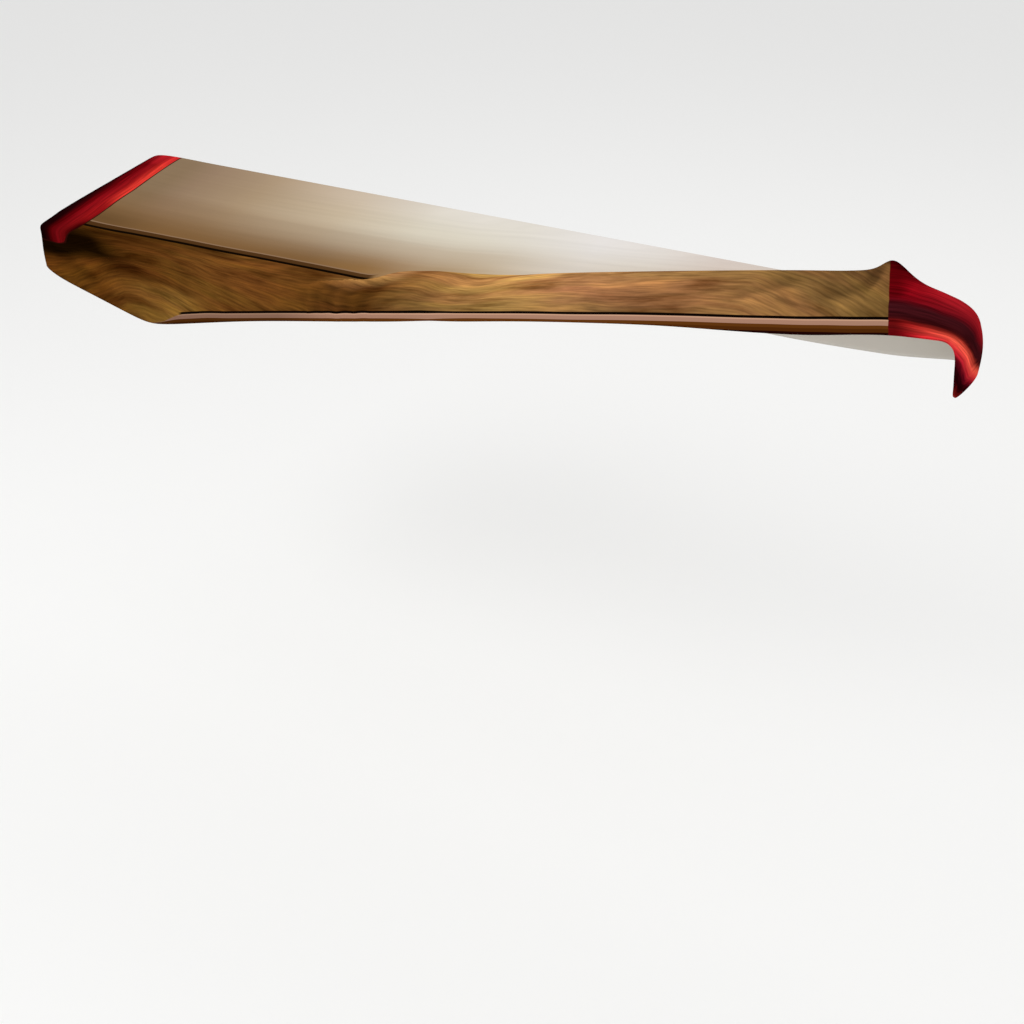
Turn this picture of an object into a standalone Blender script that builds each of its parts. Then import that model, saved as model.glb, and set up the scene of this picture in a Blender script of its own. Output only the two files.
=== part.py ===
"""Stretch-cloth dust cover for a long flat case, in the shape in which it hangs on one.

Millimetres are used throughout and turned to metres once, in point(). Lengths are measured from
the middle of the upper front edge of what the cover sits on: x to the right, y to the back, z up.
The part's origin is on the underside of the cloth, SEAT behind that edge.

The cloth is one sheet. Its left half is pulled down over the front. From the middle rightwards
its front flap is pushed back into a standing fold, which ends in a peak over the right-hand end.
"""
import bpy
import numpy as np

for old in list(bpy.data.objects):
    bpy.data.objects.remove(old, do_unlink=True)

MM = 0.001

# The cloth
CLOTH = 1.6          # thickness
SLOPE = 0.1          # fall of the top from back to front
TOP_FRONT = 1.5      # height of the top at the front edge
SUPPORT = 12.0       # distance of the lines that hold an edge round
SEAT = 165.0         # the origin's distance behind the front edge

# Where the lines between the named edges run, as shares of the way from one edge to the next
REAR_SHARE = 0.5     # down the rear skirt
FLAT_SHARE = 0.75    # forwards over the top's flat part
RISE_SHARE = 0.6     # from the foot of the fold's back up to its crest
FACE_SHARE = 0.3     # from the crest down the fold's face to the lip
TUCK_SHARE = 0.4     # the most that the line under the lip takes of the front skirt
SKIRT_SHARE = 0.6    # down the front skirt
BELLY_SHARE = 0.55   # down the left-hand end

# Stations where the cloth's width is laid out, left to right
STATIONS = (-661, -646, -610, -560, -500, -470, -440, -380, -320, -260, -200, -150, -105, -70, -42,
            -20, 2, 26, 55, 90, 125, 160, 200, 245, 290, 335, 380, 425, 465, 500, 528, 548,
            562, 575, 590, 606, 622, 638, 650)

# The standing fold. rise is its height over the top, and dip how far behind it the top begins.
FOLD = (
    # x, crest, rise, dip
    (-661, 39, 0, 44),
    (-395, 39, 0, 44),
    (-220, 48, 0, 40),
    (-110, 58, 0, 34),
    (-56, 65, 1, 30),
    (-30, 69, 8, 27),
    (5, 79, 12, 27),
    (26, 84, 7, 26),
    (50, 92, 4, 26),
    (90, 101, 11, 28),
    (140, 113, 20, 32),
    (220, 131, 30, 38),
    (340, 163, 40, 42),
    (450, 191, 49, 42),
    (528, 207, 56, 38),
    (548, 213, 59, 34),
    (564, 219, 77, 30),
    (582, 223, 59, 28),
    (600, 225, 44, 28),
    (627, 231, 33, 24),
    (650, 240, 20, 18),
)

# How far the top's left-hand rim is raised
RIM = (
    # x, over the flat top, over its rear edge
    (-661, 6, 3),
    (-610, 3, 1),
    (-560, 0, 0),
    (650, 0, 0),
)

# The lip, where the front turns down, and the front hem
FRONT_EDGE = (
    # x, lip y, lip z, hem y, hem z
    (-661, -2, 2, -2, -64),
    (-648, -3, 2, -3, -76),
    (-630, -3, 2, -3, -82),
    (-603, -3, 2, -3, -88),
    (-540, -3, 2, -3, -103),
    (-500, -3, 2, -3, -113),
    (-466, -3, 2, -3, -119),
    (-401, -3, 2, -3, -105.5),
    (-269, -3, 2, -3, -73),
    (-89, -3, 2, -3, -35),
    (-6, -3, 3, -3, -17),
    (45, 2, 5, -3, -5),
    (79, 13, 8, 1, 1),
    (145, 40, 14, 26, 4),
    (231, 68, 22, 52, 9),
    (326, 98, 28, 82, 12),
    (432, 128, 32, 109, 14),
    (500, 152, 36, 131, 15),
    (553, 174, 38, 156, 16),
    (593, 188, 38, 170, 17),
    (650, 192, 27, 176, 20),
)

# The rear edge, its line of support in front of it, and the rear hem
REAR = (
    # x, edge y, support, hem z
    (-661, 261, 20, -62),
    (-646, 268, 15, -64),
    (-616, 271, 12, -65),
    (-300, 271, 12, -68),
    (100, 271, 12, -66),
    (400, 271, 12, -68),
    (560, 271, 12, -62),
    (650, 271, 12, -50),
)

# The left-hand end: how far its lines stand out from the end of the top, down to the hem
LEFT_OUT = (1, 9, 10)
LEFT_HEM = -64

# How far the front left-hand corner bulges outwards, at the line behind the lip and at the lip
CORNER_OUT = (4, 3)

# The right-hand end. Each row is a line of the cloth over it, the rearmost first.
RIGHT_END = (
    # shoulder x, y, z, belly x, y, z, hem x, y, z
    (667, 266, 17, 679, 266, -20, 679, 263, -50),
    (670, 260, 18, 681, 259, -22, 680, 251, -56),
    (671, 255, 21, 683, 251, -22, 675, 238, -66),
    (673, 250, 24, 682, 241, -16, 661, 221, -83),
    (674, 243, 28, 680, 228, -6, 664, 204, -57),
    (673, 228, 33, 678, 208, 6, 664, 186, -27),
    (667, 208, 30, 674, 190, 14, 664, 174, 10),
)

# Places of the named edges among the lines of section(), and the lines down an end
REAR_EDGE, LIP, FRONT_HEM = 3, 11, 14
END_LINES = 3


def smooth(table, column):
    """A curve through one column of a table, with no overshoot between its rows."""
    rows = np.array(table, float)
    x, y = rows[:, 0], rows[:, column]
    step = np.diff(x)
    slope = np.diff(y) / step
    before, after = slope[:-1], slope[1:]
    same_way = before * after > 0
    total = np.where(same_way, before + after, 1)
    inner = np.where(same_way, 2 * before * after / total, 0)
    tangent = np.concatenate([[slope[0]], inner, [slope[-1]]])

    def value(at):
        k = int(np.clip(np.searchsorted(x, at, side="right") - 1, 0, len(step) - 1))
        t = (at - x[k]) / step[k]
        hermite = (
            (1 + 2 * t) * (1 - t) ** 2 * y[k]
            + t * (1 - t) ** 2 * step[k] * tangent[k]
            + t * t * (3 - 2 * t) * y[k + 1]
            - t * t * (1 - t) * step[k] * tangent[k + 1]
        )
        return float(hermite)

    return value


crest_y, crest_rise, dip_width = (smooth(FOLD, column) for column in (1, 2, 3))
lip_y, lip_z, hem_y, hem_z = (smooth(FRONT_EDGE, column) for column in (1, 2, 3, 4))
rear_y, rear_support, rear_hem_z = (smooth(REAR, column) for column in (1, 2, 3))
rim_rise, rear_rise = (smooth(RIM, column) for column in (1, 2))


def top(y):
    """Height of the cloth's upper face where it lies flat."""
    return TOP_FRONT + SLOPE * y


def between(a, b, share):
    return np.array(a, float) * (1 - share) + np.array(b, float) * share


def point(x, y, z):
    """A place on the cloth's upper face, in metres from the part's origin."""
    underside = CLOTH * np.hypot(1, SLOPE)
    return (x * MM, (y - SEAT) * MM, (z - top(SEAT) + underside) * MM)


def section(x):
    """The cloth's width at x, as (y, z) from the rear hem over the top to the front hem."""
    rear = rear_y(x)
    held = rear - rear_support(x)
    rear_hem = (rear, rear_hem_z(x))
    rear_low = (rear, top(rear) - SUPPORT)
    rear_edge = (rear, top(rear) + rear_rise(x))
    top_rear = (held, top(held) + rear_rise(x))
    crest = np.array((crest_y(x), top(crest_y(x)) + rim_rise(x) + crest_rise(x)))
    foot_y = min(crest_y(x) + dip_width(x), rear - 1.5 * SUPPORT)
    foot = (foot_y, top(foot_y) + rim_rise(x))
    lip = np.array((lip_y(x), lip_z(x)))
    hem = (hem_y(x), hem_z(x))
    down_face = (lip - crest) / np.linalg.norm(lip - crest)
    tuck = min(TUCK_SHARE, SUPPORT / max(1.0, lip[1] - hem[1]))
    return [
        rear_hem,
        between(rear_hem, rear_low, REAR_SHARE),
        rear_low,
        rear_edge,
        top_rear,
        between(top_rear, foot, FLAT_SHARE),
        foot,
        between(foot, crest, RISE_SHARE),
        crest,
        between(crest, lip, FACE_SHARE),
        lip - down_face * SUPPORT,
        lip,
        between(lip, hem, tuck),
        between(lip, hem, SKIRT_SHARE),
        hem,
    ]


def left_end():
    """Lines of the left-hand end, from each line of the top down to the hem."""
    lines = []
    for y, z in section(STATIONS[0])[REAR_EDGE + 1 : LIP]:
        heights = (z - SUPPORT, z + (LEFT_HEM - z) * BELLY_SHARE, LEFT_HEM)
        lines.append([(STATIONS[0] - out, y, height) for out, height in zip(LEFT_OUT, heights)])
    return lines


def cage():
    """Points and four-sided faces of the sheet before it is rounded."""
    sheet = [[(x, y, z) for y, z in section(x)] for x in STATIONS]
    outwards = list(zip((LIP - 1, LIP), CORNER_OUT))
    for step, out in enumerate(LEFT_OUT, 1):
        outwards += [(REAR_EDGE - step, out), (LIP + step, out)]
    for line, out in outwards:
        x, y, z = sheet[0][line]
        sheet[0][line] = (x - out, y, z)
    points, faces = [], []

    def add(place):
        points.append(point(*place))
        return len(points) - 1

    grid = [[add(place) for place in station] for station in sheet]
    for a, b in zip(grid, grid[1:]):
        for line in range(FRONT_HEM):
            faces.append((a[line], a[line + 1], b[line + 1], b[line]))

    def close_end(station, lines, flip):
        """Joins an end's lines to the last station, whose own two skirts are its corners."""
        rear_corner = [station[REAR_EDGE - step] for step in range(END_LINES + 1)]
        front_corner = [station[LIP + step] for step in range(END_LINES + 1)]
        inner = [
            [station[REAR_EDGE + 1 + k]] + [add(place) for place in line]
            for k, line in enumerate(lines)
        ]
        columns = [rear_corner, *inner, front_corner]
        for a, b in zip(columns, columns[1:]):
            for step in range(END_LINES):
                face = (a[step], b[step], b[step + 1], a[step + 1])
                faces.append(face[::-1] if flip else face)

    close_end(grid[0], left_end(), flip=True)
    close_end(grid[-1], [[row[0:3], row[3:6], row[6:9]] for row in RIGHT_END], flip=False)
    return points, faces


def printed_cloth():
    """Printed stretch knit: its middle brown, nearly matt."""
    material = bpy.data.materials.new("printed stretch cloth")
    material.use_nodes = True
    surface = material.node_tree.nodes["Principled BSDF"]
    surface.inputs["Base Color"].default_value = (0.283, 0.136, 0.048, 1)
    surface.inputs["Roughness"].default_value = 0.8
    surface.inputs["Metallic"].default_value = 0
    return material


def make_cover():
    points, faces = cage()
    mesh = bpy.data.meshes.new("cover")
    mesh.from_pydata(points, [], faces)
    mesh.materials.append(printed_cloth())
    mesh.shade_smooth()
    cover = bpy.data.objects.new("cover", mesh)
    bpy.context.collection.objects.link(cover)
    folds = cover.modifiers.new("soft folds", "SUBSURF")
    folds.levels = folds.render_levels = 1
    thickness = cover.modifiers.new("cloth thickness", "SOLIDIFY")
    thickness.thickness = CLOTH * MM
    thickness.offset = -1
    return cover


make_cover()
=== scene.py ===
import math

import bpy
import numpy as np
from mathutils import Matrix, Vector
from mathutils.kdtree import KDTree


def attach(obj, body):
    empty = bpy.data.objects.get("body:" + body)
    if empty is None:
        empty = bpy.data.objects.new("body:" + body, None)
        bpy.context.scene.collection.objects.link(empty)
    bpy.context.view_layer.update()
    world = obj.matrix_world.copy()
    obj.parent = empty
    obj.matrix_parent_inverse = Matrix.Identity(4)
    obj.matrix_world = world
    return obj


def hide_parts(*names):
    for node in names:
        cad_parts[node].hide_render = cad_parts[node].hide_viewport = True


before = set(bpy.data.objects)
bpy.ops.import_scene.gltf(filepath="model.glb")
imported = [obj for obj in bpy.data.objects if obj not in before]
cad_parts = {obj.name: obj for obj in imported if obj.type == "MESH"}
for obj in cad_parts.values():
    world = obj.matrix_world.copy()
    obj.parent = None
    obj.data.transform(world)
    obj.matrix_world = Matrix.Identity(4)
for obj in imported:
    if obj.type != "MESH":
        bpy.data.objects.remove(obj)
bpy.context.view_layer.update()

# The cover: one piece of printed stretch jersey, cut in one and hemmed all round.
# Its left half is pulled down over the front. From the middle rightwards the front flap is pushed
# back into a standing fold, which ends in a peak and wraps round the right-hand end.
# Lengths are in millimetres from the middle of the top's front edge: x right, y back, z up.
MM = 0.001
SLOPE = 0.1             # fall of the top from back to front
TOP_FRONT = 1.5         # height of the top at its front edge
SUPPORT = 12.0          # distance of the lines that hold an edge round
SEAT = 165.0            # the origin's distance behind the front edge
SOLID_THICKNESS = 1.6   # of the plain solid that the cloth stands for

# Where the lines between the named edges run, as shares of the way from one edge to the next
REAR_SHARE, FLAT_SHARE, RISE_SHARE, FACE_SHARE = 0.5, 0.75, 0.6, 0.3
TUCK_SHARE, SKIRT_SHARE, BELLY_SHARE = 0.4, 0.6, 0.55

# Stations where the cloth's width is laid out, left to right
STATIONS = (-661, -646, -610, -560, -500, -470, -440, -380, -320, -260, -200, -150, -105, -70, -42,
            -20, 2, 26, 55, 90, 125, 160, 200, 245, 290, 335, 380, 425, 465, 500, 528, 548,
            562, 575, 590, 606, 622, 638, 650)

# The standing fold. rise is its height over the top, and dip how far behind it the top begins.
FOLD = (
    # x, crest, rise, dip
    (-661, 39, 0, 44),
    (-395, 39, 0, 44),
    (-220, 48, 0, 40),
    (-110, 58, 0, 34),
    (-56, 65, 1, 30),
    (-30, 69, 8, 27),
    (5, 79, 12, 27),
    (26, 84, 7, 26),
    (50, 92, 4, 26),
    (90, 101, 11, 28),
    (140, 113, 20, 32),
    (220, 131, 30, 38),
    (340, 163, 40, 42),
    (450, 191, 49, 42),
    (528, 207, 56, 38),
    (548, 213, 59, 34),
    (564, 219, 77, 30),
    (582, 223, 59, 28),
    (600, 225, 44, 28),
    (627, 231, 33, 24),
    (650, 240, 20, 18),
)

# How far the top's left-hand rim is raised
RIM = (
    # x, over the flat top, over its rear edge
    (-661, 6, 3),
    (-610, 3, 1),
    (-560, 0, 0),
    (650, 0, 0),
)

# The lip, where the front turns down, and the front hem
FRONT_EDGE = (
    # x, lip y, lip z, hem y, hem z
    (-661, -2, 2, -2, -64),
    (-648, -3, 2, -3, -76),
    (-630, -3, 2, -3, -82),
    (-603, -3, 2, -3, -88),
    (-540, -3, 2, -3, -103),
    (-500, -3, 2, -3, -113),
    (-466, -3, 2, -3, -119),
    (-401, -3, 2, -3, -105.5),
    (-269, -3, 2, -3, -73),
    (-89, -3, 2, -3, -35),
    (-6, -3, 3, -3, -17),
    (45, 2, 5, -3, -5),
    (79, 13, 8, 1, 1),
    (145, 40, 14, 26, 4),
    (231, 68, 22, 52, 9),
    (326, 98, 28, 82, 12),
    (432, 128, 32, 109, 14),
    (500, 152, 36, 131, 15),
    (553, 174, 38, 156, 16),
    (593, 188, 38, 170, 17),
    (650, 192, 27, 176, 20),
)

# The rear edge, its line of support in front of it, and the rear hem
REAR = (
    # x, edge y, support, hem z
    (-661, 261, 20, -62),
    (-646, 268, 15, -64),
    (-616, 271, 12, -65),
    (-300, 271, 12, -68),
    (100, 271, 12, -66),
    (400, 271, 12, -68),
    (560, 271, 12, -62),
    (650, 271, 12, -50),
)

LEFT_OUT = (1, 9, 10)   # how far the left-hand end's lines stand out, down to the hem
CORNER_OUT = (4, 3)     # how far its front corner does, at the line behind the lip and at the lip
LEFT_HEM = -64          # its height

# The right-hand end. Each row is a line of the cloth over it, the rearmost first.
RIGHT_END = (
    # shoulder x, y, z, belly x, y, z, hem x, y, z
    (667, 266, 17, 679, 266, -20, 679, 263, -50),
    (670, 260, 18, 681, 259, -22, 680, 251, -56),
    (671, 255, 21, 683, 251, -22, 675, 238, -66),
    (673, 250, 24, 682, 241, -16, 661, 221, -83),
    (674, 243, 28, 680, 228, -6, 664, 204, -57),
    (673, 228, 33, 678, 208, 6, 664, 186, -27),
    (667, 208, 30, 674, 190, 14, 664, 174, 10),
)

# Places of the named edges among the lines of section(), and the lines down an end
REAR_EDGE, CREST, LIP, FRONT_HEM = 3, 8, 11, 14
END_LINES = 3
ROUNDING = 3            # how often the cage is subdivided


def smooth(table, column):
    """A curve through one column of a table, with no overshoot between its rows."""
    rows = np.array(table, float)
    x, y = rows[:, 0], rows[:, column]
    step = np.diff(x)
    slope = np.diff(y) / step
    before, after = slope[:-1], slope[1:]
    same_way = before * after > 0
    total = np.where(same_way, before + after, 1)
    inner = np.where(same_way, 2 * before * after / total, 0)
    tangent = np.concatenate([[slope[0]], inner, [slope[-1]]])

    def value(at):
        at = np.clip(at, x[0], x[-1])
        k = np.clip(np.searchsorted(x, at, side="right") - 1, 0, len(step) - 1)
        t = (at - x[k]) / step[k]
        return (
            (1 + 2 * t) * (1 - t) ** 2 * y[k]
            + t * (1 - t) ** 2 * step[k] * tangent[k]
            + t * t * (3 - 2 * t) * y[k + 1]
            - t * t * (1 - t) * step[k] * tangent[k + 1]
        )

    return value


crest_y, crest_rise, dip_width = (smooth(FOLD, column) for column in (1, 2, 3))
lip_y, lip_z, hem_y, hem_z = (smooth(FRONT_EDGE, column) for column in (1, 2, 3, 4))
rear_y, rear_support, rear_hem_z = (smooth(REAR, column) for column in (1, 2, 3))
rim_rise, rear_rise = (smooth(RIM, column) for column in (1, 2))


def top(y):
    """Height of the cloth's upper face where it lies flat."""
    return TOP_FRONT + SLOPE * y


def between(a, b, share):
    return np.array(a, float) * (1 - share) + np.array(b, float) * share


def section(x):
    """The cloth's width at x, as (y, z) from the rear hem over the top to the front hem."""
    rear = rear_y(x)
    held = rear - rear_support(x)
    rear_hem = (rear, rear_hem_z(x))
    rear_low = (rear, top(rear) - SUPPORT)
    rear_edge = (rear, top(rear) + rear_rise(x))
    top_rear = (held, top(held) + rear_rise(x))
    crest = np.array((crest_y(x), top(crest_y(x)) + rim_rise(x) + crest_rise(x)))
    foot_y = min(crest_y(x) + dip_width(x), rear - 1.5 * SUPPORT)
    foot = (foot_y, top(foot_y) + rim_rise(x))
    lip = np.array((lip_y(x), lip_z(x)))
    hem = (hem_y(x), hem_z(x))
    down_face = (lip - crest) / np.linalg.norm(lip - crest)
    tuck = min(TUCK_SHARE, SUPPORT / max(1.0, lip[1] - hem[1]))
    return [
        rear_hem,
        between(rear_hem, rear_low, REAR_SHARE),
        rear_low,
        rear_edge,
        top_rear,
        between(top_rear, foot, FLAT_SHARE),
        foot,
        between(foot, crest, RISE_SHARE),
        crest,
        between(crest, lip, FACE_SHARE),
        lip - down_face * SUPPORT,
        lip,
        between(lip, hem, tuck),
        between(lip, hem, SKIRT_SHARE),
        hem,
    ]


def cage():
    """The sheet before it is rounded: points, faces, and where each point is on the flat cloth."""
    points, faces, along, across = [], [], [], []

    def add(place, at, over):
        points.append(place)
        along.append(at)
        across.append(over)
        return len(points) - 1

    grid, widths = [], []
    for x in STATIONS:
        line = np.array(section(x), float)
        lengths = np.linalg.norm(np.diff(line, axis=0), axis=1)
        over = np.concatenate([[0], np.cumsum(lengths)])
        over -= over[CREST]
        widths.append(over)
        places = [[x, y, z] for y, z in line]
        if x == STATIONS[0]:
            for step, out in enumerate(LEFT_OUT, 1):
                places[REAR_EDGE - step][0] -= out
                places[LIP + step][0] -= out
            places[LIP - 1][0] -= CORNER_OUT[0]
            places[LIP][0] -= CORNER_OUT[1]
        grid.append([add(place, x, at) for place, at in zip(places, over)])
    for a, b in zip(grid, grid[1:]):
        for line in range(FRONT_HEM):
            faces.append((a[line], a[line + 1], b[line + 1], b[line]))

    def close_end(station, lines, over, side):
        """Joins an end's lines to a station; side is 1 at the right-hand end and -1 at the left."""
        rear_corner = [station[REAR_EDGE - step] for step in range(END_LINES + 1)]
        front_corner = [station[LIP + step] for step in range(END_LINES + 1)]
        columns = [rear_corner]
        for k, line in enumerate(lines):
            start = station[REAR_EDGE + 1 + k]
            places = [points[start], *line]
            lengths = np.linalg.norm(np.diff(np.array(places, float), axis=0), axis=1)
            outward = along[start] + side * np.cumsum(lengths)
            column = [add(p, at, over[REAR_EDGE + 1 + k]) for p, at in zip(line, outward)]
            columns.append([start, *column])
        columns.append(front_corner)
        for a, b in zip(columns, columns[1:]):
            for step in range(END_LINES):
                face = (a[step], b[step], b[step + 1], a[step + 1])
                faces.append(face if side > 0 else face[::-1])

    left = []
    for y, z in section(STATIONS[0])[REAR_EDGE + 1 : LIP]:
        heights = (z - SUPPORT, z + (LEFT_HEM - z) * BELLY_SHARE, LEFT_HEM)
        left.append([(STATIONS[0] - out, y, height) for out, height in zip(LEFT_OUT, heights)])
    right = [[row[0:3], row[3:6], row[6:9]] for row in RIGHT_END]
    close_end(grid[0], left, widths[0], -1)
    close_end(grid[-1], right, widths[-1], 1)
    return np.array(points, float), faces, along, across


def in_metres(places):
    """Places on the cloth's upper face, in metres from the part's origin."""
    lift = SOLID_THICKNESS * math.hypot(1, SLOPE) - top(SEAT)
    return (places + np.array((0, -SEAT, lift))) * MM


def values(mesh, name, kind="value", width=1):
    """An attribute of a mesh as an array."""
    found = np.empty(len(mesh.attributes[name].data) * width, np.float32)
    mesh.attributes[name].data.foreach_get(kind, found)
    return found.reshape(-1, width) if width > 1 else found


def give(mesh, name, numbers):
    """Writes one number for each point of a mesh."""
    layer = mesh.attributes.get(name) or mesh.attributes.new(name, "FLOAT", "POINT")
    layer.data.foreach_set("value", np.asarray(numbers, np.float32))


points, faces, along, across = cage()
rough = bpy.data.meshes.new("cover_cage")
rough.from_pydata(in_metres(points).tolist(), [], faces)
give(rough, "along", along)
give(rough, "across", across)
cloth = bpy.data.objects.new("cover_cloth", rough)
bpy.context.scene.collection.objects.link(cloth)
rounded = cloth.modifiers.new("soft folds", "SUBSURF")
rounded.levels = rounded.render_levels = ROUNDING


def settle(piece):
    """Turns a piece's modifiers into its mesh."""
    graph = bpy.context.evaluated_depsgraph_get()
    shape = bpy.data.meshes.new_from_object(piece.evaluated_get(graph))
    piece.modifiers.clear()
    piece.data = shape
    return shape


shape = settle(cloth)
along, across = values(shape, "along"), values(shape, "across")
place = values(shape, "position", "vector", 3).astype(float)
normal = np.empty(len(shape.vertices) * 3, np.float32)
shape.vertex_normals.foreach_get("vector", normal)
normal = normal.reshape(-1, 3).astype(float)

# How far each point is from the hem of the front and of the right-hand end, up to its lowest point
edge_use = {}
for face in shape.polygons:
    for key in face.edge_keys:
        edge_use[key] = edge_use.get(key, 0) + 1
hem_edges = np.array([key for key, count in edge_use.items() if count == 1])
EDGE_SPLITS = 8         # points taken along each edge of the hem
LOWEST_Y = 221.0        # of the right-hand end's tip
shares = np.linspace(0, 1, EDGE_SPLITS, endpoint=False)[:, None, None]
hem_line = between(place[hem_edges[:, 0]], place[hem_edges[:, 1]], shares).reshape(-1, 3)
hem_line = hem_line[hem_line[:, 1] < (LOWEST_Y - SEAT) * MM]
hem_tree = KDTree(len(hem_line))
for k, spot in enumerate(hem_line):
    hem_tree.insert(spot, k)
hem_tree.balance()
hem = np.array([hem_tree.find(spot)[2] for spot in place]) / MM

# Soft creases, each a ridge or a trough along a straight run on the flat cloth
CREASES = (
    # from along, across, to along, across, half width, height
    (-150, 47, -104, 29, 4.5, 4.4),
    (-108, 30, -58, 10, 4.5, 4.2),
    (-148, 57, -103, 39, 5, -1.4),
    (-106, 40, -56, 20, 6, -1.6),
    (-148, 50, -156, 96, 4, 1.5),
    (-135, 54, -143, 92, 5, -1.2),
    (-113, 40, -125, 96, 5, -1.1),
    (-98, 35, -108, 98, 5, 1.7),
    (-87, 34, -94, 90, 5, -0.8),
    (-72, 28, -78, 92, 5, 1.2),
    (-60, 26, -64, 96, 8, -1.2),
    (-40, 20, -50, 80, 11, 0.9),
    (20, 16, 10, 70, 12, -1.8),
    (52, 14, 46, 62, 12, 1.6),
    (392, 46, 462, 18, 9, -2.2),
    (408, 58, 490, 24, 10, 1.8),
    (498, 46, 556, 16, 9, -2.4),
    (520, 58, 566, 30, 9, 1.8),
    (550, 6, 546, 48, 9, -2.0),
    (600, 12, 640, 34, 10, -1.8),
    (-650, 40, -520, 120, 16, 1.6),
    (-648, 70, -560, 118, 12, -1.4),
    (-500, 60, -420, 118, 22, -1.6),
    (-340, 56, -300, 100, 20, 1.2),
    (-240, 54, -215, 86, 16, -1.1),
)

FULL_HALF = 0.35         # half of a crease's full part, as a share of its run
FADE = 0.03              # how gently it fades past that


def crease(start_x, start_a, end_x, end_a, half_width, height):
    """A soft ridge, or a trough where height is below 0, that fades out at both ends."""
    run = np.array((end_x - start_x, end_a - start_a), float)
    length = np.linalg.norm(run)
    from_start = np.stack([along - start_x, across - start_a], 1)
    t = from_start @ run / length**2
    aside = (from_start[:, 0] * run[1] - from_start[:, 1] * run[0]) / length
    past_ends = np.maximum(0, np.abs(t - 0.5) - FULL_HALF)
    fade = np.exp(-(past_ends**2) / FADE)
    return height * fade * np.exp(-((aside / half_width) ** 2))


lift = sum(crease(*row) for row in CREASES)

# The rear skirt hangs in low waves. Each row is a height, a length over 2 pi and a phase.
REAR_WAVES = ((1.2, 26, 2), (0.8, 14.3, 0.4))
SKIRT_START, SKIRT_EASE = 235, 50       # how far behind the crest they begin, and grow to full
END_START, END_EASE = 640, 60           # the same from the left-hand end
skirt = np.clip((-across - SKIRT_START) / SKIRT_EASE, 0, 1)
skirt *= np.clip((along + END_START) / END_EASE, 0, 1)
lift += skirt * sum(high * np.sin(along / long + phase) for high, long, phase in REAR_WAVES)
place += normal * (lift * MM)[:, None]
shape.attributes["position"].data.foreach_set("vector", place.astype(np.float32).ravel())


def rising(value, low, high):
    """0 below low and 1 above high, with soft ends; low may be the greater."""
    t = np.clip((value - low) / (high - low), 0, 1)
    return (t * t * (3 - 2 * t))[:, None]


# Where the print's parts meet, all in millimetres on the flat cloth
FRONT_LINE = (
    # along, how far in front of the crest the dark line between top and front runs
    (-600, 14), (-535, 10.5), (-460, 6.5), (-380, 4.2), (-290, 4.4), (-203, 6.7), (-122, 11.2),
    (-105, 12.8), (-92, 13.4), (-80, 8), (-60, -9), (-40, -17), (0, -20), (650, -18),
)
BORDER = (
    # along, how far above the hem the border's pink band begins
    (-560, -46), (-500, -17), (-466, -1), (-436, 5.2), (-399, 8.2), (-357, 8.2), (-299, 6.1),
    (-242, 5.3), (-42, 5.3), (-3, 4.7), (19, 3.7), (39, 2.9), (65, 3.7), (91, 4.4), (128, 3.8),
    (201, 3.4), (274, 4.8), (322, 6.1), (369, 8.2), (416, 10.3), (461, 12.1), (505, 12.5),
    (549, 11.2), (575, 11.6),
)
PINK_WIDTH = 6.8
PINK_TAPER = ((-440, 0), (-418, 0.5), (-397, 1))   # along, share of the band's whole width
LEFT_EDGE = (
    # across, along: the inner edge of the left-hand red end
    (-330, -616), (-227, -611), (-180, -609), (-116, -603.5), (-70, -600), (0, -593.5),
    (47, -596), (120, -597),
)
RIGHT_EDGE = (
    # across, along: where the right-hand red end begins
    (-330, 590), (-60, 568), (0, 562), (22, 566), (43, 570), (60, 574), (72, 578), (86, 583.5),
)
LEFT_TIP = 61.0          # how far in front of the crest the left-hand red end reaches
TIP_RADIUS = 36.0        # of its rounded corner

NO_BORDER = 99           # behind the crest
front = across - smooth(FRONT_LINE, 1)(along)
border = np.where(across > 0, hem - smooth(BORDER, 1)(along), NO_BORDER)
over_pink = border - PINK_WIDTH * smooth(PINK_TAPER, 1)(along)
into_left = smooth(LEFT_EDGE, 1)(across) - along
from_tip = LEFT_TIP - across
corner = np.hypot(np.maximum(0, TIP_RADIUS - into_left), np.maximum(0, TIP_RADIUS - from_tip))
in_left = np.where(
    (into_left < TIP_RADIUS) & (from_tip < TIP_RADIUS),
    TIP_RADIUS - corner,
    np.minimum(into_left, from_tip),
)
in_right = along - smooth(RIGHT_EDGE, 1)(across)

# The front's streaks rise at the left, keep to the hem from the middle on, and fall at the right
STREAK_RISE = 60.0
FALL_START, FALL_SLOPE, FALL_EASE = 400, 0.6, 60
HEM_LANE = 90.0          # the lane that the hem is on
with_hem = rising(along, -460, -60)[:, 0]
rise = STREAK_RISE * rising(along, -670, -470)[:, 0] * rising(front, 0, 70)[:, 0]
falling = np.maximum(0, along - FALL_START)
fall = FALL_SLOPE * falling**2 / (falling + FALL_EASE)
lane = (across + rise) * (1 - with_hem) + (HEM_LANE - hem) * with_hem - fall
give(shape, "lane", lane)
give(shape, "front", front)
give(shape, "border", border)
give(shape, "over_pink", over_pink)
give(shape, "end", np.maximum(in_left, in_right))


def linear(code, alpha=1):
    """A colour's sRGB hex code as a linear RGBA value."""
    channels = [int(code[k : k + 2], 16) / 255 for k in (0, 2, 4)]
    return (*[c / 12.92 if c <= 0.04045 else ((c + 0.055) / 1.055) ** 2.4 for c in channels], alpha)


def shades(ramp, at):
    """A ramp's colours, blended between its stops, as linear RGB."""
    colours = np.array([linear(code)[:3] for place, code in ramp])
    places = [place for place, code in ramp]
    return np.stack([np.interp(at, places, channel) for channel in colours.T], 1)


def blended(under, over, share):
    """Colours moved towards others by a share."""
    return under + (np.asarray(over) - under) * share


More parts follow.
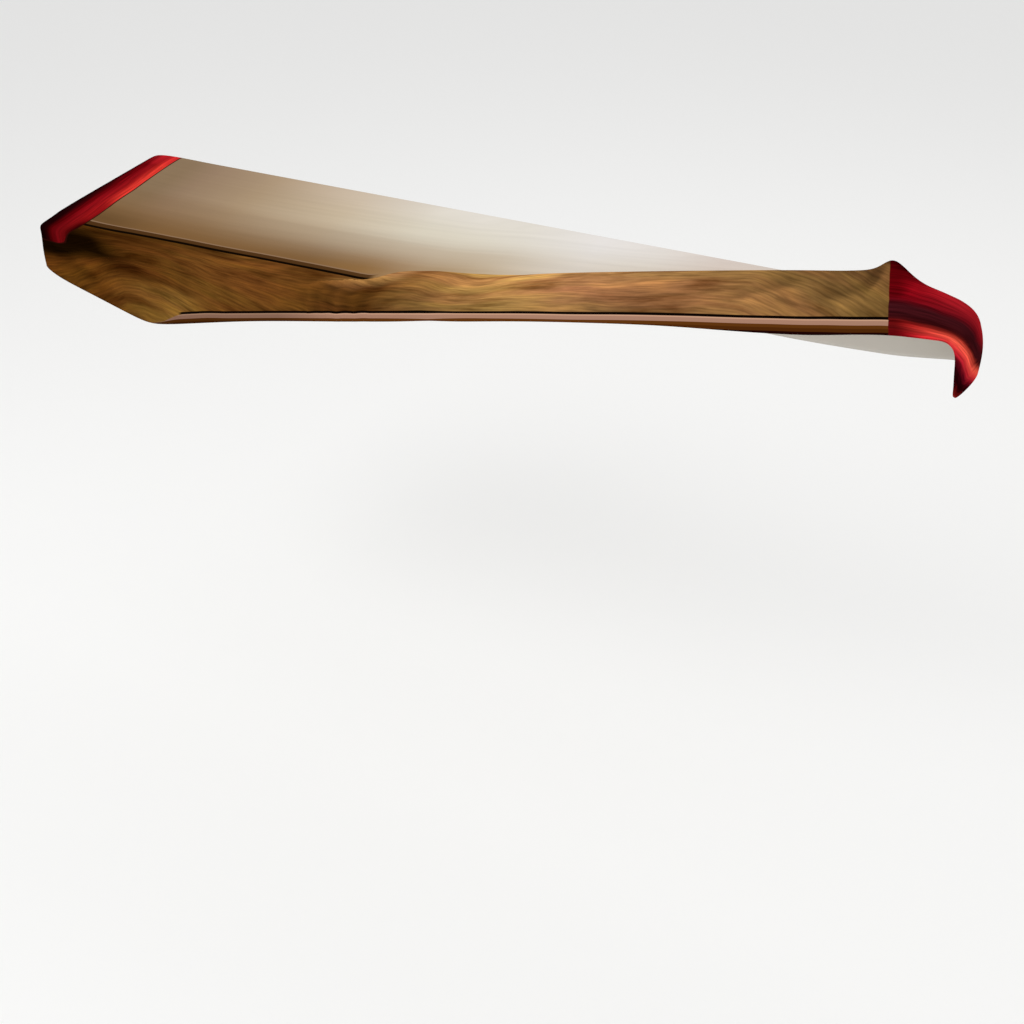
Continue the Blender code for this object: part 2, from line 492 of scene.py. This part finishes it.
def toned(colours, share, *spans):
    """Colours paler by a share, or darker where it is below 0, past each (place, from, to)."""
    mask = 1
    for where, start, end in spans:
        mask = mask * rising(where, start, end)
    return colours * (1 + np.asarray(share) * mask)


# The print's tints, and those of a painted highlight. Each ramp runs along the cover, or inwards from
# an edge, in millimetres.
TOP_RAMP = (
    (-570, "856f55"), (-519, "907860"), (-400, "a58e72"), (-234, "c1b097"), (-90, "d2cab8"),
    (0, "d6cfbf"), (164, "ddd8d1"), (250, "d9d2c8"), (335, "d1c4b8"), (450, "cec3b6"),
)
UMBER_RAMP = ((-200, "7a5a37"), (-60, "916d42"), (60, "a6875a"), (250, "b59a72"))
FRONT_RAMP = (
    (-650, "5f3a13"), (-500, "543211"), (-440, "5e3a16"), (-340, "67451d"), (-230, "6b441e"),
    (-150, "5c3a18"), (-100, "573517"), (-72, "553414"), (-52, "5e3b1a"), (-28, "78542d"),
    (30, "8e6a3f"), (110, "ab8450"), (190, "a17550"), (280, "8e6844"), (400, "966f46"),
    (490, "89653f"), (560, "795a35"),
)
SWELL_HIGHLIGHT_RAMP = (
    # a painted highlight where the fold begins, along its upper side
    (-165, "7b5227"), (-115, "93683c"), (-80, "a17548"), (-45, "b48a5a"), (-10, "b88e5c"),
)
LEFT_RAMP = (
    (0, "8c1014"), (16, "921417"), (27, "880f16"), (39, "66040a"), (48, "3a0307"), (54, "200305"),
    (62, "160204"), (84, "3e0508"), (112, "720c10"), (140, "640a0e"),
)
HIGHLIGHT = linear("e23c30")[:3]    # along the left-hand red end's inner edge, towards the rear
REAR_RED = linear("c4222a")[:3]     # where that end meets the rear edge
RIGHT_RAMP = (
    (-42, "8a1a17"), (-36, "7a1412"), (-32, "2c0003"), (-20, "200106"), (-11, "5a0816"),
    (-4, "b41e2a"), (2, "d63a38"), (8, "ee5a46"), (12, "cc4836"), (15, "84241c"), (19, "36090b"),
    (26, "380e12"), (36, "3a0f14"), (41, "560a12"), (49, "7c121a"), (64, "a01a22"), (84, "a41b24"),
)
END_DROP = (
    # height, how far inwards the right-hand end's shades have moved
    (-74, 44), (-54, 36), (-38, 31), (-26, 25.5), (-12, 19), (0, 11), (12, 4), (25, 0),
)

# The top: umber next to its line, less so to the right. It is darkest by the line at the far left
# and palest, and a little cooler, towards its rear edge.
REAR_PALER = (0.09, 0.11, 0.21)
top_print = shades(TOP_RAMP, along)
by_line = rising(across, -130, -5)
by_line = by_line * (1 - 0.15 * rising(along, -120, -20) - 0.5 * rising(along, -20, 180))
top_print = blended(top_print, shades(UMBER_RAMP, along), by_line)
top_print = toned(top_print, -0.3, (along, -440, -580), (across, -60, -10))
behind_front = place[:, 1] / MM + SEAT
in_middle = (0.35 + 0.65 * rising(along, -480, -220)) * (1 - 0.6 * rising(along, -40, 60))
top_print = toned(top_print, np.array(REAR_PALER) * in_middle, (behind_front, 185, 262))

# The front: painted shade below its line at the left, olive along its lowest hem, and painted shade
# under the left-hand end, whose right-hand side slants
OLIVE = (0.75, 1.25, 1.7)
SHADE_SLANT = 1.1
front_print_and_shading = shades(FRONT_RAMP, along)
# Painted shade below the line at the left
front_print_and_shading = toned(front_print_and_shading, -0.3, (front, 48, 2), (along, -230, -400))
front_print_and_shading = toned(front_print_and_shading, OLIVE, (across, 84, 112), (along, -560, -460), (along, -330, -420))
# Painted shade under the left-hand end
far_left = rising(along, -550, -640)[:, 0]
shade_foot = (across, 87 + 17 * far_left, 58 + 20 * far_left)
shade_side = (along - SHADE_SLANT * (across - 40), -485, -565)
front_print_and_shading = toned(front_print_and_shading, -0.94, (across, 4, 48), shade_foot, shade_side)
# Painted shade along the crest just before the peak
front_print_and_shading = toned(front_print_and_shading, -0.5, (across, 24, 2), (along, 490, 556))

# Painted light on the fold: a painted highlight along its crest, and before the peak painted shade
# there instead
down = np.clip(across / np.maximum(across + hem, 1), 0, 1)[:, None]   # share of the way to the hem
front_print_and_shading = toned(front_print_and_shading, 0.5 - 0.85 * down, (along, -75, -25), (along, 400, 240))
front_print_and_shading = toned(front_print_and_shading, 0.55 * down - 0.38, (along, 390, 450), (along, 545, 500))
# A painted highlight on the fold's upper side where it begins
swell_highlight = 0.95 * rising(front, 46, 6) * rising(along, -170, -120) * rising(along, -15, -50)
front_print_and_shading = blended(front_print_and_shading, shades(SWELL_HIGHLIGHT_RAMP, along), swell_highlight)

# Painted light and shade on the creases: a painted highlight along each ridge, painted shade in each
# trough
CREASE_SHADING = 0.13              # share of painted highlight on a crease 1 mm high, or of painted shade in one 1 mm deep
MOST_CREASE_SHADING = (0.6, 1.6)
front_print_and_shading *= np.clip(1 + CREASE_SHADING * lift, *MOST_CREASE_SHADING)[:, None]

# The left-hand end: a bright glint inside its inner edge, and painted shade towards the front corner
GLINT_PLACE, GLINT_WIDTH = 5, 7.5
left_red = shades(LEFT_RAMP, into_left)
glint = np.exp(-(((into_left - GLINT_PLACE) / GLINT_WIDTH) ** 2))[:, None]
left_red = blended(left_red, HIGHLIGHT, 0.95 * glint * rising(across, -30, -95))
# Painted shade towards the front corner and the tip
left_red = toned(left_red, -0.45, (across, -30, 40))
left_red = toned(left_red, -0.85, (across, -8, 20), (into_left, 22, -2))
left_red = blended(left_red, REAR_RED, rising(across, -205, -240))

# The right-hand end: its shades follow the hem, and lie further inwards towards the tip. Next to
# the seam its red is deeper, apart from its dark band, and under the peak it has painted shade.
END_GAIN = 1.06          # how much brighter than its ramp it is
SHIFT = 2.2              # how far its shades have moved inwards next to the seam, and outwards past it
SEAM_RED = 0.11          # the brightest that the red is next to the seam
SEAM_CUT = (0.7, 0.45)   # share of green and of blue that it lacks there
height = place[:, 2] / MM + top(SEAT) - SOLID_THICKNESS * math.hypot(1, SLOPE)
inwards = hem - smooth(END_DROP, 1)(height) * rising(along, 590, 655)[:, 0]
inwards += SHIFT * (rising(in_right, 45, 75) - rising(in_right, 45, 15))[:, 0]
right_red = END_GAIN * shades(RIGHT_RAMP, inwards)
near_seam = rising(in_right, 96, 8)
brightest = SEAM_RED + 1.3 * (1 - near_seam)
right_red *= np.minimum(1, brightest / right_red[:, :1])
in_band = rising(inwards, 15, 20) * rising(inwards, 46, 38)
right_red[:, 1:] *= 1 - np.array(SEAM_CUT) * near_seam * (1 - in_band)
# Painted shade along the crest under the peak
right_red = toned(right_red, -0.88, (across, 20, -2), (across, -38, -10), (in_right, 62, 22))
give(shape, "flow", np.where(along < 0, into_left, inwards))
give(shape, "run", np.where(along < 0, across, along))

# Its silk fades out towards the rear, where no hem leads it
led = rising(behind_front, 246, 222)[:, 0]
give(shape, "silky", np.where(along < 0, 1, np.maximum(led, rising(height, 14, 34)[:, 0])))

# The tints, with their painted light and shade, go to the material as a colour for each point
for name, colours in (
    ("top_print", top_print),
    ("front_print_and_shading", front_print_and_shading),
    ("end_print_and_shading", np.where(along[:, None] < 0, left_red, right_red)),
):
    layer = shape.attributes.new(name, "FLOAT_COLOR", "POINT")
    opaque = np.concatenate([colours, np.ones((len(colours), 1))], 1)
    layer.data.foreach_set("color", opaque.astype(np.float32).ravel())

# The cloth is doubled at its hem
CLOTH_THICKNESS = 1.9
SINGLE_SHARE = 0.65
HEM_DEPTH = 12.0
shape.shade_smooth()
doubled = cloth.vertex_groups.new(name="hem")
doubled.add(np.flatnonzero(hem < HEM_DEPTH).tolist(), 1, "REPLACE")
thick = cloth.modifiers.new("cloth thickness", "SOLIDIFY")
thick.thickness = CLOTH_THICKNESS * MM
thick.vertex_group = "hem"
thick.thickness_vertex_group = SINGLE_SHARE
thick.offset = -1
thick.material_offset = 1
thick.material_offset_rim = 0


def node(tree, kind, inputs=None, stops=None, **settings):
    """Adds a shader node with its settings, a ramp's stops, and its set or linked inputs."""
    made = tree.nodes.new("ShaderNode" + kind)
    for name, value in settings.items():
        setattr(made, name, value)
    for socket, value in (inputs or {}).items():
        if isinstance(value, bpy.types.NodeSocket):
            tree.links.new(value, made.inputs[socket])
        else:
            made.inputs[socket].default_value = value
    for k, (at, colour) in enumerate(stops or ()):
        if k >= len(made.color_ramp.elements):
            made.color_ramp.elements.new(1)
        made.color_ramp.elements[k].position = at
        made.color_ramp.elements[k].color = colour
    return made


# Printed jersey: polyester knit with elastane, dyed by heat transfer, so that the print lies in the
# yarn and has no gloss of its own. It is matt all over, so that its darkest parts stay dark.
# Sockets by number: a Mix node's colours are 6 and 7, and its result is output 2. A MapRange
# node's range is 1 to 2, and the range that it is turned into is 3 to 4.
jersey = bpy.data.materials.new("printed_polyester_jersey")
jersey.use_nodes = True
tree = jersey.node_tree
surface = tree.nodes["Principled BSDF"]
RAMP_REACH = 25.0        # the lines below lie within this many millimetres of 0
SOFT_EDGE = 0.4          # how far a line's colour reaches past its ends
x, a, flow, front_mm, border_mm, end_mm = (
    node(tree, "Attribute", attribute_name=name).outputs["Fac"]
    for name in ("along", "across", "flow", "front", "border", "end")
)
top_tint, front_tint, end_tint = (
    node(tree, "Attribute", attribute_name=name).outputs["Color"]
    for name in ("top_print", "front_print_and_shading", "end_print_and_shading")
)
flat = node(tree, "CombineXYZ", {"X": x, "Y": a}).outputs["Vector"]


def streaks(colour, over, length, width, detail, noise, depth):
    """A colour made darker and paler by streaks: noise is the range that is spread over depth."""
    run = node(tree, "Mapping", {"Vector": over, "Scale": (1 / length, 1 / width, 1)}).outputs["Vector"]
    grain = node(tree, "TexNoise", {"Vector": run, "Scale": 1, "Detail": detail}).outputs["Fac"]
    ranges = {1: noise[0], 2: noise[1], 3: depth[0], 4: depth[1]}
    scale = node(tree, "MapRange", {"Value": grain, **ranges}).outputs["Result"]
    return node(tree, "VectorMath", {0: colour, "Scale": scale}, operation="SCALE").outputs[0]


def lines(distance, rows):
    """Soft-edged lines at a distance in millimetres: each row is a start, an end and a colour."""
    stops = []
    for start, end, colour in rows:
        for at in (start - SOFT_EDGE, end + SOFT_EDGE):
            stops.append(((at + RAMP_REACH) / (2 * RAMP_REACH), colour))
    reach = node(tree, "MapRange", {"Value": distance, 1: -RAMP_REACH, 2: RAMP_REACH})
    return node(tree, "ValToRGB", {"Fac": reach.outputs["Result"]}, stops)


def laid_over(under, printed, share):
    """A colour with printed lines over it, as strong as their alpha times a share."""
    alpha = node(tree, "Math", {0: printed.outputs["Alpha"], 1: share}, operation="MULTIPLY")
    colours = {0: alpha.outputs[0], 6: under, 7: printed.outputs["Color"]}
    return node(tree, "Mix", colours, data_type="RGBA").outputs[2]


# The watered streaks of the brown front: broad soft flames, olive or ruddy, with finer ones in them
BEND, BEND_LENGTH = 26.0, 150.0         # how far they wander, and over what length
FLAME_LENGTH, FLAME_WIDTH = 130.0, 27.0
PATCH_LENGTH, PATCH_WIDTH = FLAME_LENGTH / 0.6, FLAME_WIDTH / 0.8
STREAK_LENGTH, STREAK_WIDTH = 44.0, 3.2
lane = node(tree, "Attribute", attribute_name="lane").outputs["Fac"]
lanes = node(tree, "CombineXYZ", {"X": x, "Y": lane}).outputs["Vector"]
bend = node(tree, "TexNoise", {"Vector": lanes, "Scale": 1 / BEND_LENGTH, "Detail": 2})
wandering = node(
    tree, "VectorMath", {0: bend.outputs["Color"], 1: (0, BEND, 0), 2: lanes},
    operation="MULTIPLY_ADD",
).outputs["Vector"]
run = node(
    tree, "Mapping", {"Vector": wandering, "Scale": (1 / FLAME_LENGTH, 1 / FLAME_WIDTH, 1)}
).outputs["Vector"]
flames = node(tree, "TexNoise", {"Vector": run, "Scale": 1, "Detail": 5, "Roughness": 0.58})
run = node(
    tree, "Mapping",
    {"Vector": wandering, "Location": (3, 5, 0), "Scale": (1 / PATCH_LENGTH, 1 / PATCH_WIDTH, 1)},
).outputs["Vector"]
patches = node(tree, "TexNoise", {"Vector": run, "Scale": 1, "Detail": 2})
tone = node(tree, "ValToRGB", {"Fac": flames.outputs["Fac"]}, (
    (0.33, linear("9a8b79")), (0.5, linear("d9d8d6")), (0.66, linear("ffffee")),
)).outputs["Color"]
cast = node(tree, "ValToRGB", {"Fac": patches.outputs["Fac"]}, (
    (0.4, linear("fff0ec")), (0.6, linear("f6f8e6")),
)).outputs["Color"]
brown = front_tint
for over in (tone, cast):
    brown = node(
        tree, "Mix", {0: 1.0, 6: brown, 7: over}, data_type="RGBA", blend_type="MULTIPLY"
    ).outputs[2]
brown = streaks(brown, wandering, STREAK_LENGTH, STREAK_WIDTH, 3, (0.32, 0.68), (1.05, 1.87))

# The top is brushed along its length, far more faintly
BRUSH_LENGTH, BRUSH_WIDTH = 250.0, 11.1
pale = streaks(top_tint, flat, BRUSH_LENGTH, BRUSH_WIDTH, 4, (0.3, 0.7), (0.96, 1.03))
step = node(tree, "MapRange", {"Value": front_mm, 1: -0.5, 2: 0.5}).outputs["Result"]
ground = node(tree, "Mix", {0: step, 6: pale, 7: brown}, data_type="RGBA").outputs[2]

# A pale line, a brown strip and a dark line part the front from the top, and end at the fold
LINE_FADES, LINE_GONE = -91, -78
parting = lines(front_mm, (
    (-24, -14.2, linear("8c7058", 0)),
    (-13.2, -11.4, linear("8c7058", 0.75)),
    (-10.6, -3.4, linear("452a11", 0.9)),
    (-2, 2, linear("0f0703")),
    (2.8, 24, linear("0f0703", 0)),
))
fade = node(
    tree, "MapRange", {"Value": x, 1: LINE_FADES, 2: LINE_GONE, 3: 1, 4: 0},
    interpolation_type="SMOOTHSTEP",
).outputs["Result"]
ground = laid_over(ground, parting, fade)

# The border along the front hem: an edge of painted shade, a brown band, a pink one and a black line.
# It is dimmer in the left half.
SHADED_HEM_EDGE = 8.6          # what of the brown band lies further out than this is dark with painted shade
DIM_TO, DIM_FROM, DIMMEST = -210, -105, 0.62
LINE_START, LINE_EASE = -400, 4         # where along the cover the black line comes in
edging = lines(border_mm, (
    (-24, -SHADED_HEM_EDGE - 0.8, linear("1d0504")),
    (-SHADED_HEM_EDGE, -5.2, linear("4d270a")),
    (-4, -0.8, linear("5e3410")),
    (0, 4.4, linear("a67d68")),
    (5.6, 24, linear("c69a7e")),
)).outputs["Color"]
dim = node(tree, "MapRange", {"Value": x, 1: DIM_TO, 2: DIM_FROM, 3: DIMMEST, 4: 1})
edging = node(
    tree, "VectorMath", {0: edging, "Scale": dim.outputs["Result"]}, operation="SCALE"
).outputs[0]
over_pink = node(tree, "Attribute", attribute_name="over_pink").outputs["Fac"]
step = node(tree, "MapRange", {"Value": over_pink, 1: 0.4, 2: -0.4}).outputs["Result"]
ground = node(tree, "Mix", {0: step, 6: ground, 7: edging}, data_type="RGBA").outputs[2]
black_line = lines(over_pink, (
    (-24, -0.4, linear("0a0503", 0)),
    (0.4, 3, linear("0a0503")),
    (3.8, 24, linear("0a0503", 0)),
))
fade = node(tree, "MapRange", {"Value": x, 1: LINE_START - LINE_EASE, 2: LINE_START + LINE_EASE})
ground = laid_over(ground, black_line, fade.outputs["Result"])

# The red ends have a silky run of soft streaks with fine threads in them, and the left-hand one
# has a fine dark outline
SILK_LENGTH, SILK_WIDTH = 83.3, 4.55
THREAD_LENGTH, THREAD_WIDTH = 50.0, 1.25
run = node(tree, "Attribute", attribute_name="run").outputs["Fac"]
run = node(tree, "CombineXYZ", {"X": run, "Y": flow}).outputs["Vector"]
silky = streaks(end_tint, run, SILK_LENGTH, SILK_WIDTH, 2, (0.3, 0.7), (0.7, 1.3))
silky = streaks(silky, run, THREAD_LENGTH, THREAD_WIDTH, 2, (0.35, 0.65), (0.72, 1.24))
share = node(tree, "Attribute", attribute_name="silky").outputs["Fac"]
silky = node(tree, "Mix", {0: share, 6: end_tint, 7: silky}, data_type="RGBA").outputs[2]
step = node(tree, "MapRange", {"Value": end_mm, 1: -0.4, 2: 0.4}).outputs["Result"]
ground = node(tree, "Mix", {0: step, 6: ground, 7: silky}, data_type="RGBA").outputs[2]
outline = lines(end_mm, (
    (-24, -2.6, linear("2a0b07", 0)),
    (-1.8, -0.2, linear("2a0b07", 0.95)),
    (0.6, 24, linear("2a0b07", 0)),
))
on_left = node(tree, "Math", {0: x, 1: 0.0}, operation="LESS_THAN").outputs[0]
ground = laid_over(ground, outline, on_left)

# The knit's wales stand 1.1 mm apart, about twice as coarse as the real ones, so that they show
WALE = 1.1
wales = node(tree, "Mapping", {"Vector": flat, "Scale": (1 / WALE, 0.8 / WALE, 1)}).outputs[0]
knit = node(tree, "TexWave", {"Vector": wales, "Scale": 1, "Distortion": 0.6}).outputs["Fac"]
bump = node(tree, "Bump", {"Height": knit, "Strength": 0.12, "Distance": 0.0002})
tree.links.new(ground, surface.inputs["Base Color"])
tree.links.new(bump.outputs["Normal"], surface.inputs["Normal"])
surface.inputs["Roughness"].default_value = 0.82
surface.inputs["IOR"].default_value = 1.46
surface.inputs["Specular IOR Level"].default_value = 0.0

# The reverse of the jersey: the undyed yarn, off-white with a little of the front's print and its
# painted shading showing through
reverse = bpy.data.materials.new("undyed_jersey_reverse")
reverse.use_nodes = True
tree = reverse.node_tree
back = tree.nodes["Principled BSDF"]
run = node(tree, "Attribute", attribute_name="front_print_and_shading").outputs["Color"]
through = node(tree, "Mix", {0: 0.12, 6: linear("d6d1c8"), 7: run}, data_type="RGBA").outputs[2]
tree.links.new(through, back.inputs["Base Color"])
back.inputs["Roughness"].default_value = 0.85
back.inputs["Specular IOR Level"].default_value = 0.1
shape.materials.append(jersey)
shape.materials.append(reverse)
settle(cloth)

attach(cloth, "root")
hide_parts("cover")

# The floor: a plain pale one, 0.8 m below the cover
FLOOR_Z, FLOOR_HALF = -0.80, 9
corners = [(x * FLOOR_HALF, y * FLOOR_HALF, FLOOR_Z) for x, y in ((-1, -1), (1, -1), (1, 1), (-1, 1))]
floor_mesh = bpy.data.meshes.new("floor")
floor_mesh.from_pydata(corners, [], [(0, 1, 2, 3)])
floor = bpy.data.objects.new("floor", floor_mesh)
bpy.context.scene.collection.objects.link(floor)
paint = bpy.data.materials.new("matt_white_paint")
paint.use_nodes = True
paint.node_tree.nodes["Principled BSDF"].inputs["Base Color"].default_value = linear("f8f8f7")
paint.node_tree.nodes["Principled BSDF"].inputs["Roughness"].default_value = 0.9
floor_mesh.materials.append(paint)

# Soft studio light: a pale room and three large panels. A plain view of the light keeps the
# print's colours as they are dyed.
bpy.context.scene.view_settings.view_transform = "Standard"
world = bpy.data.worlds.new("studio")
bpy.context.scene.world = world
world.use_nodes = True
world.node_tree.nodes["Background"].inputs["Color"].default_value = (1, 1, 1, 1)
world.node_tree.nodes["Background"].inputs["Strength"].default_value = 0.8
PANELS = (
    # name, place, size, watts
    ("key", (-1.2, -1.8, 2.2), 1.6, 24),
    ("fill", (2.2, -1.6, 1.3), 1.6, 6),
    ("rim", (0.2, 1.8, 1.8), 1.4, 8),
)
for name, at, size, watts in PANELS:
    light = bpy.data.lights.new(name, "AREA")
    light.shape = "SQUARE"
    light.size = size
    light.energy = watts
    panel = bpy.data.objects.new(name, light)
    panel.location = at
    panel.rotation_euler = (-Vector(at)).to_track_quat("-Z", "Y").to_euler()
    bpy.context.scene.collection.objects.link(panel)

# The camera, at the photograph's place and angle
CAMERA_PLACE = (0.90363, -1.41612, 0.71463)
HEADING, DOWN, ROLL = 30.980, 34.472, -2.250
lens = bpy.data.cameras.new("camera")
lens.sensor_width = 36
lens.lens = 45.587
camera = bpy.data.objects.new("camera", lens)
turn = (
    Matrix.Rotation(math.radians(HEADING), 4, "Z")
    @ Matrix.Rotation(math.radians(90 - DOWN), 4, "X")
    @ Matrix.Rotation(math.radians(ROLL), 4, "Z")
)
camera.matrix_world = Matrix.Translation(CAMERA_PLACE) @ turn
bpy.context.scene.collection.objects.link(camera)
bpy.context.scene.camera = camera
